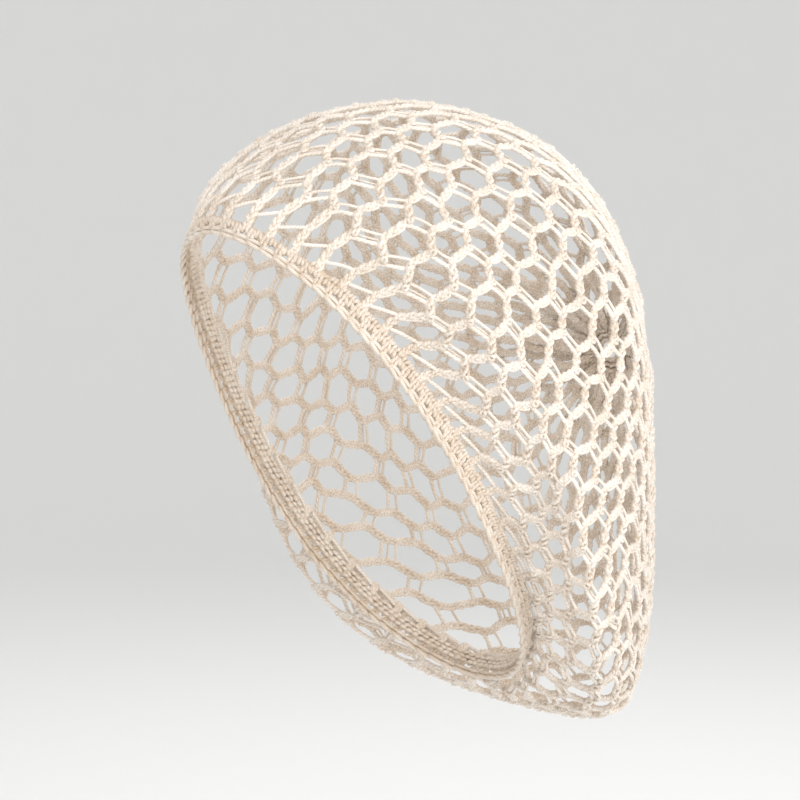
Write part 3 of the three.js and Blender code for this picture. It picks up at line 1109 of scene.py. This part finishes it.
def soft_box(name, position, size, watts):
    """A round soft light that faces the snood."""
    lamp = bpy.data.lights.new(name, "AREA")
    lamp.shape = "DISK"
    lamp.size = size
    lamp.energy = watts
    holder = bpy.data.objects.new(name, lamp)
    holder.location = position
    holder.rotation_mode = "QUATERNION"
    holder.rotation_quaternion = (Vector(position) - AIM).to_track_quat("Z", "Y")
    bpy.context.scene.collection.objects.link(holder)


class SNOOD_OT_stage(bpy.types.Operator):
    """Make the floor, the soft studio light and the camera"""
    bl_idname = "snood.stage"
    bl_label = "Make the stage"

    def execute(self, context):
        scene = context.scene
        stage = scene.snood_stage
        # Matt backdrop paper, even and without a sheen.
        material, tree = empty_material("matt_backdrop_paper")
        shader = add(tree, "ShaderNodeBsdfPrincipled", {
            "Base Color": (*stage.floor, 1), "Roughness": 0.9, "Specular IOR Level": 0.1})
        add(tree, "ShaderNodeOutputMaterial", {"Surface": shader.outputs[0]})
        sweep_floor("floor", stage.floor_height, material)

        world = bpy.data.worlds.new("soft_studio")
        scene.world = world
        world.use_nodes = True
        world.node_tree.nodes.clear()
        light = add(world.node_tree, "ShaderNodeBackground",
                    {"Color": (1, 1, 1, 1), "Strength": WORLD_LIGHT})
        add(world.node_tree, "ShaderNodeOutputWorld", {"Surface": light.outputs[0]})
        for settings in LIGHTS:
            soft_box(*settings)

        data = bpy.data.cameras.new("camera")
        data.lens = LENS_MM
        data.sensor_width = SENSOR_MM
        data.shift_x = -AIM_OFFSET[0] / IMAGE_PIXELS
        data.shift_y = AIM_OFFSET[1] / IMAGE_PIXELS
        camera = bpy.data.objects.new("camera", data)
        towards = Vector((
            math.sin(CAMERA_TURN) * math.cos(CAMERA_RISE),
            -math.cos(CAMERA_TURN) * math.cos(CAMERA_RISE),
            math.sin(CAMERA_RISE),
        ))
        camera.location = AIM + towards * CAMERA_DISTANCE
        camera.rotation_mode = "QUATERNION"
        camera.rotation_quaternion = towards.to_track_quat("Z", "Y")
        scene.collection.objects.link(camera)
        scene.camera = camera
        scene.view_settings.view_transform = "Standard"
        return {"FINISHED"}


class SNOOD_PT_panel(bpy.types.Panel):
    """Sizes, colours and buttons of the snood"""
    bl_idname = "SNOOD_PT_panel"
    bl_label = "Crochet hair snood"
    bl_space_type = "VIEW_3D"
    bl_region_type = "UI"
    bl_category = "Snood"

    def draw(self, context):
        scene = context.scene
        for group in (scene.snood_yarn, scene.snood_net, scene.snood_band, scene.snood_stage):
            box = self.layout.box()
            for name in group.bl_rna.properties.keys():
                if name not in ("rna_type", "name"):
                    box.prop(group, name)
        for operator in OPERATORS:
            self.layout.operator(operator.bl_idname)


OPERATORS = (SNOOD_OT_net, SNOOD_OT_band, SNOOD_OT_cord, SNOOD_OT_ring, SNOOD_OT_stage)
GROUPS = {
    "snood_yarn": SnoodYarn,
    "snood_net": SnoodNet,
    "snood_band": SnoodBand,
    "snood_stage": SnoodStage,
}
CLASSES = (*GROUPS.values(), *OPERATORS, SNOOD_PT_panel)


def register():
    for cls in CLASSES:
        bpy.utils.register_class(cls)
    for name, group in GROUPS.items():
        setattr(bpy.types.Scene, name, PointerProperty(type=group))


def unregister():
    for name in GROUPS:
        delattr(bpy.types.Scene, name)
    for cls in reversed(CLASSES):
        bpy.utils.unregister_class(cls)


def main():
    register()
    bpy.ops.snood.net()
    bpy.ops.snood.band()
    bpy.ops.snood.cord()
    bpy.ops.snood.ring()
    bpy.ops.snood.stage()


if __name__ == "__main__":
    main()
